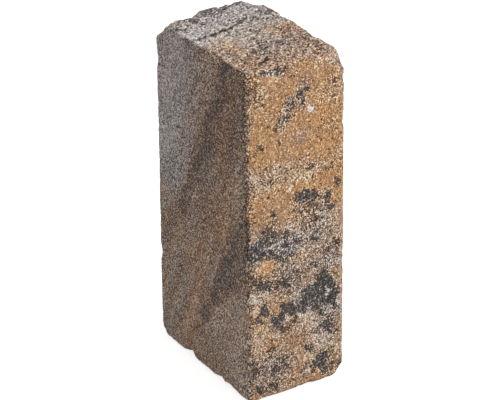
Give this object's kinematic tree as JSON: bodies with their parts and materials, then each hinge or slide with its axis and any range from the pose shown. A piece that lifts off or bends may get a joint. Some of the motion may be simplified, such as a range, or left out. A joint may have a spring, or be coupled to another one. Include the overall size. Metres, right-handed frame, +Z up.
{
  "type": "retaining wall block",
  "caption": "Tumbled, colour-mixed concrete block for laying dry or in mortar in garden retaining walls, with worn arrises and knocked corners, stored standing on its end.",
  "frame": {"origin": "middle of the foot, the end face that the block stands on", "axes": "+Z up along the block's length; X across its two bed faces, the left bed face looking along -X; -Y is the show face that is seen in the wall, +Y the back"},
  "size_m": [0.136, 0.2098, 0.42],
  "materials": {
    "mixed_concrete": "matt, sandy, tumbled; ochre, charcoal and pale grey concrete mixed in clouds"
  },
  "bodies": {
    "root": {"wall_block": "mixed_concrete"}
  },
  "joints": []
}
